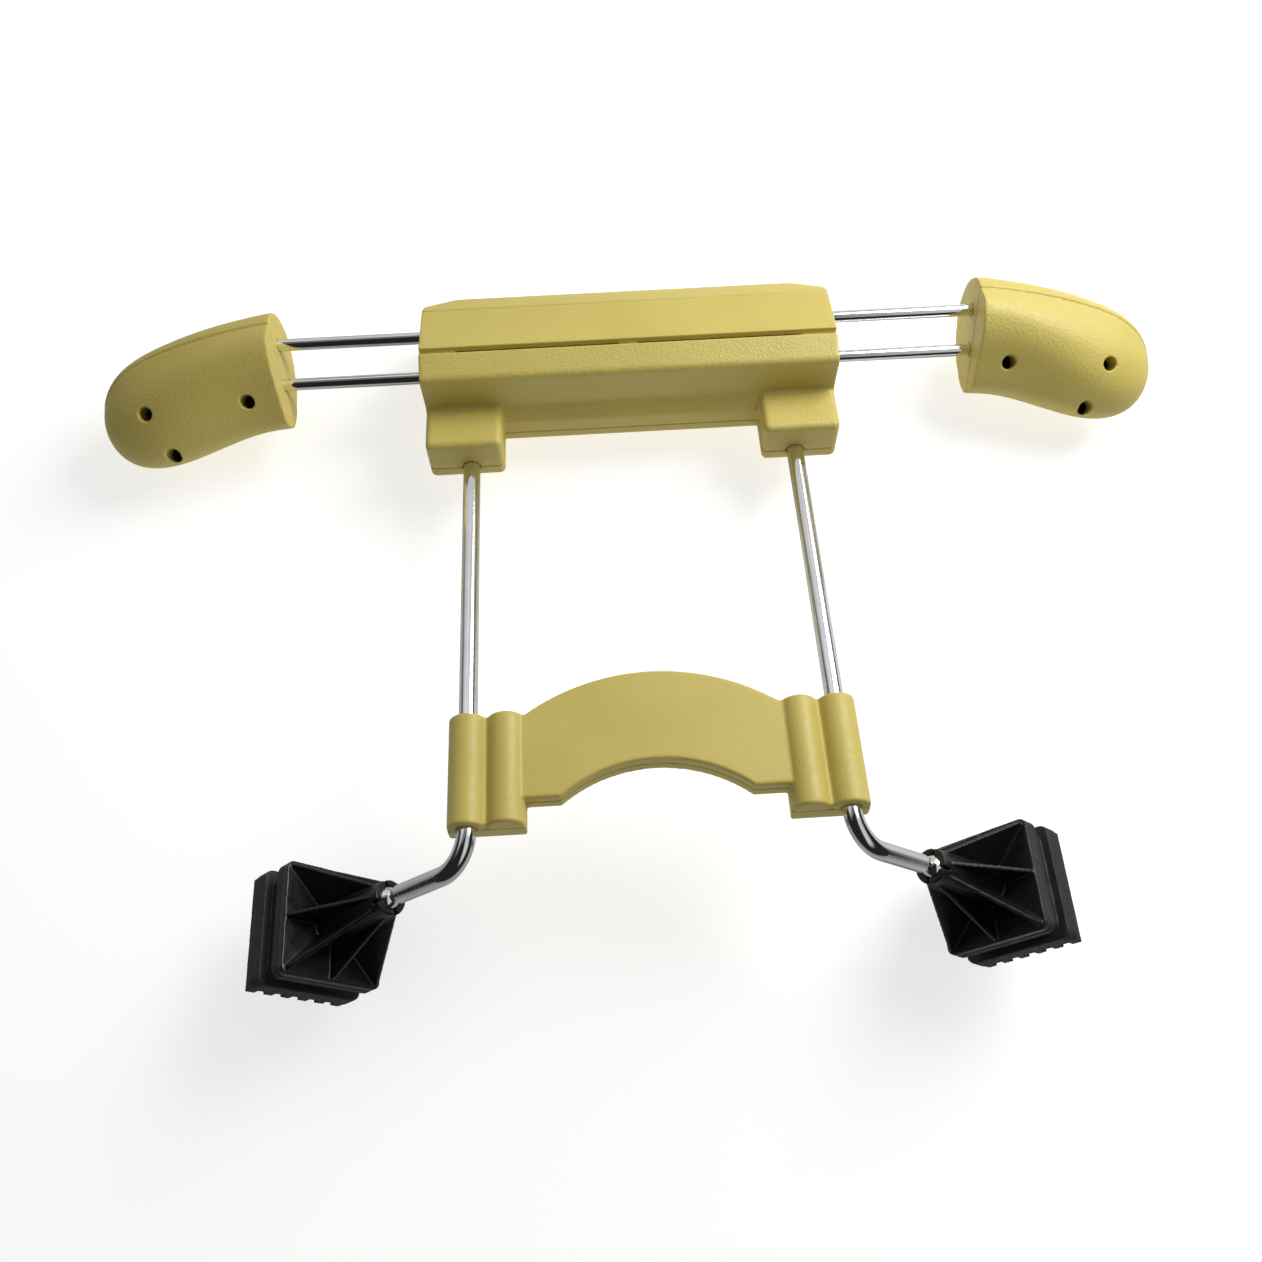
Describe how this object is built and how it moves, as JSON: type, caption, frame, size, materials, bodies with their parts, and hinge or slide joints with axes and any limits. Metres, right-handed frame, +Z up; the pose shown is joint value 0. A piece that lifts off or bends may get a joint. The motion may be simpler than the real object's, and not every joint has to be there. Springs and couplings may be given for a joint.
{
  "type": "car seat coat hanger",
  "caption": "Car seat coat hanger with telescoping moulded shoulders, two swivelling chrome legs, a sliding bridge and ball-jointed rubber feet.",
  "frame": {"origin": "on the ground under the middle of the hanger's box, as it lies on its back", "axes": "+X across the hanger towards its right arm, +Y from the feet towards the arms, +Z up from the ground"},
  "size_m": [0.4406, 0.289, 0.0872],
  "materials": {
    "moulded_shell": "fine leather-like grain, satin",
    "chrome_rod": "bright polished",
    "screw_steel": "zinc plated",
    "spring_steel": "oiled spring steel",
    "inner_plastic": "natural low-friction plastic",
    "foot_plastic": "black, semi-gloss",
    "pad_rubber": "black, matte"
  },
  "bodies": {
    "body": {"body_front_shell": "moulded_shell", "body_rear_shell": "moulded_shell", "body_screws": "screw_steel"},
    "bridge": {"bridge_front_shell": "moulded_shell", "bridge_rear_shell": "moulded_shell", "bridge_screws": "screw_steel"},
    "left_arm": {"left_arm_carriage": "inner_plastic", "left_lower_arm_rod": "chrome_rod", "left_upper_arm_rod": "chrome_rod", "left_shoulder_front_shell": "moulded_shell", "left_shoulder_rear_shell": "moulded_shell", "left_shoulder_screws": "screw_steel"},
    "left_leg": {"left_leg_rod": "chrome_rod", "left_leg_clip": "spring_steel"},
    "left_foot_ball": {"left_foot_ball": "chrome_rod"},
    "left_foot": {"left_foot_frame": "foot_plastic", "left_foot_pad": "pad_rubber"},
    "right_arm": {"right_arm_carriage": "inner_plastic", "right_lower_arm_rod": "chrome_rod", "right_upper_arm_rod": "chrome_rod", "right_shoulder_front_shell": "moulded_shell", "right_shoulder_rear_shell": "moulded_shell", "right_shoulder_screws": "screw_steel"},
    "right_leg": {"right_leg_rod": "chrome_rod", "right_leg_clip": "spring_steel"},
    "right_foot_ball": {"right_foot_ball": "chrome_rod"},
    "right_foot": {"right_foot_frame": "foot_plastic", "right_foot_pad": "pad_rubber"}
  },
  "joints": [
    {"name": "left_arm_slide", "type": "slide", "parent": "body", "child": "left_arm", "axis": [-1, 0, 0], "range_m": [-0.055, 0.002]},
    {"name": "left_leg_swivel", "type": "hinge", "parent": "body", "child": "left_leg", "pos_m": [-0.0675, 0.06979, 0.02624], "axis": [0, -0.9398, 0.3419], "range_deg": [-90, 65]},
    {"name": "left_ball_spin", "type": "hinge", "parent": "left_leg", "child": "left_foot_ball", "pos_m": [-0.09995, -0.10332, 0.0579], "axis": [0.7408, 0.2296, 0.6312], "continuous": true},
    {"name": "left_foot_tilt", "type": "hinge", "parent": "left_foot_ball", "child": "left_foot", "pos_m": [-0.09995, -0.10332, 0.0579], "axis": [0.6717, -0.2533, -0.6962], "range_deg": [-17, 22]},
    {"name": "right_arm_slide", "type": "slide", "parent": "body", "child": "right_arm", "axis": [1, 0, 0], "range_m": [-0.055, 0.002]},
    {"name": "right_leg_swivel", "type": "hinge", "parent": "body", "child": "right_leg", "pos_m": [0.0675, 0.06979, 0.02624], "axis": [0, 0.9398, -0.3419], "range_deg": [-90, 65]},
    {"name": "right_ball_spin", "type": "hinge", "parent": "right_leg", "child": "right_foot_ball", "pos_m": [0.09995, -0.10332, 0.0579], "axis": [0.7408, -0.2296, -0.6312], "continuous": true},
    {"name": "right_foot_tilt", "type": "hinge", "parent": "right_foot_ball", "child": "right_foot", "pos_m": [0.09995, -0.10332, 0.0579], "axis": [0.6717, 0.2533, 0.6962], "range_deg": [-17, 22]},
    {"name": "bridge_slide", "type": "slide", "parent": "body", "child": "bridge", "axis": [0, 0.9398, -0.3419], "range_m": [0, 0.112]}
  ]
}
